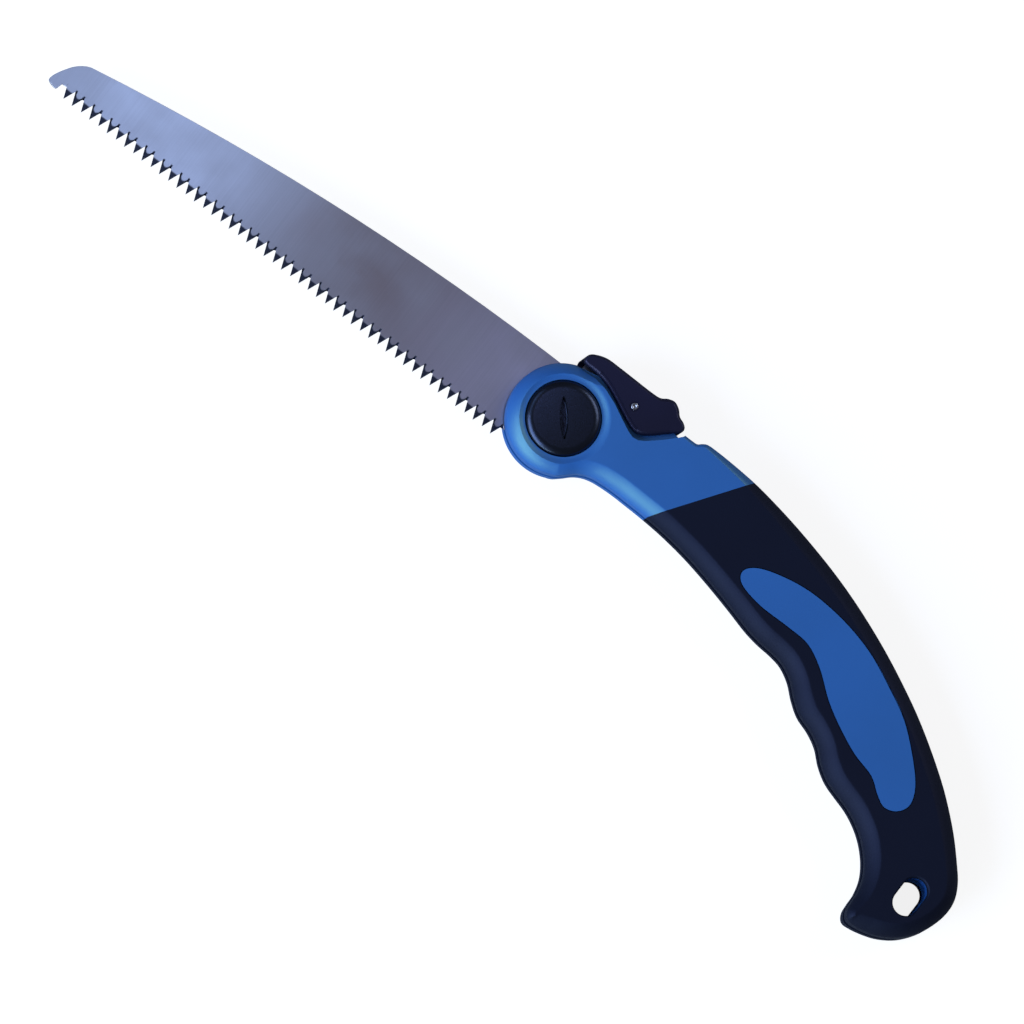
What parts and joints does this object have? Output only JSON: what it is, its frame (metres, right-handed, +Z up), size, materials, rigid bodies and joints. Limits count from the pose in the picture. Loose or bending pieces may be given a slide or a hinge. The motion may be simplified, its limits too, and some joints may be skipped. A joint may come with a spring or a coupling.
{
  "type": "folding pruning saw",
  "caption": "Folding pruning saw with an arched toothed blade, a round blue head with a coin-slot tension screw, a top lock lever and a curved rubber grip with a hooked butt and hanging hole.",
  "frame": {"origin": "on the blade pivot's axis, at the plane that the saw rests on when it lies on its nut side", "axes": "+X from the pivot towards the grip and along the saw, +Y away from the teeth, +Z up along the pivot axis towards the coin-slot knob"},
  "size_m": [0.3969, 0.0993, 0.0206],
  "materials": {
    "core": "satin moulded blue plastic",
    "grip": "matte moulded rubber",
    "blade": "ground steel with impulse-hardened tooth tips",
    "fittings": "zinc-plated steel",
    "black_plastic": "fine-grained black plastic"
  },
  "bodies": {
    "handle": {"handle_core": "core", "grip_overmould": "grip", "blade_washer_front": "fittings", "blade_washer_back": "fittings", "pivot_sleeve": "fittings", "spring_washer": "fittings", "pivot_nut": "fittings", "nut_cover": "black_plastic", "lock_pin": "fittings", "lock_spring": "fittings"},
    "blade": {"saw_blade": "blade"},
    "lever": {"lock_lever": "black_plastic", "lock_pawl": "fittings"},
    "tension_screw": {"pivot_bolt": "fittings", "pivot_knob": "black_plastic"}
  },
  "joints": [
    {"name": "blade_fold", "type": "hinge", "parent": "handle", "child": "blade", "pos_m": [0, 0, 0.01], "axis": [0, 0, 1], "range_deg": [0, 162]},
    {"name": "lever_pivot", "type": "hinge", "parent": "handle", "child": "lever", "pos_m": [0.016, 0.0175, 0.01], "axis": [0, 0, 1], "range_deg": [-6, 4.5], "stiffness_Nm_per_rad": 0.05, "springref_deg": 4.5, "deforming": ["lock_spring"]},
    {"name": "screw_turn", "type": "hinge", "parent": "handle", "child": "tension_screw", "pos_m": [0, 0, 0.018], "axis": [0, 0, 1], "range_deg": [-90, 90]}
  ]
}
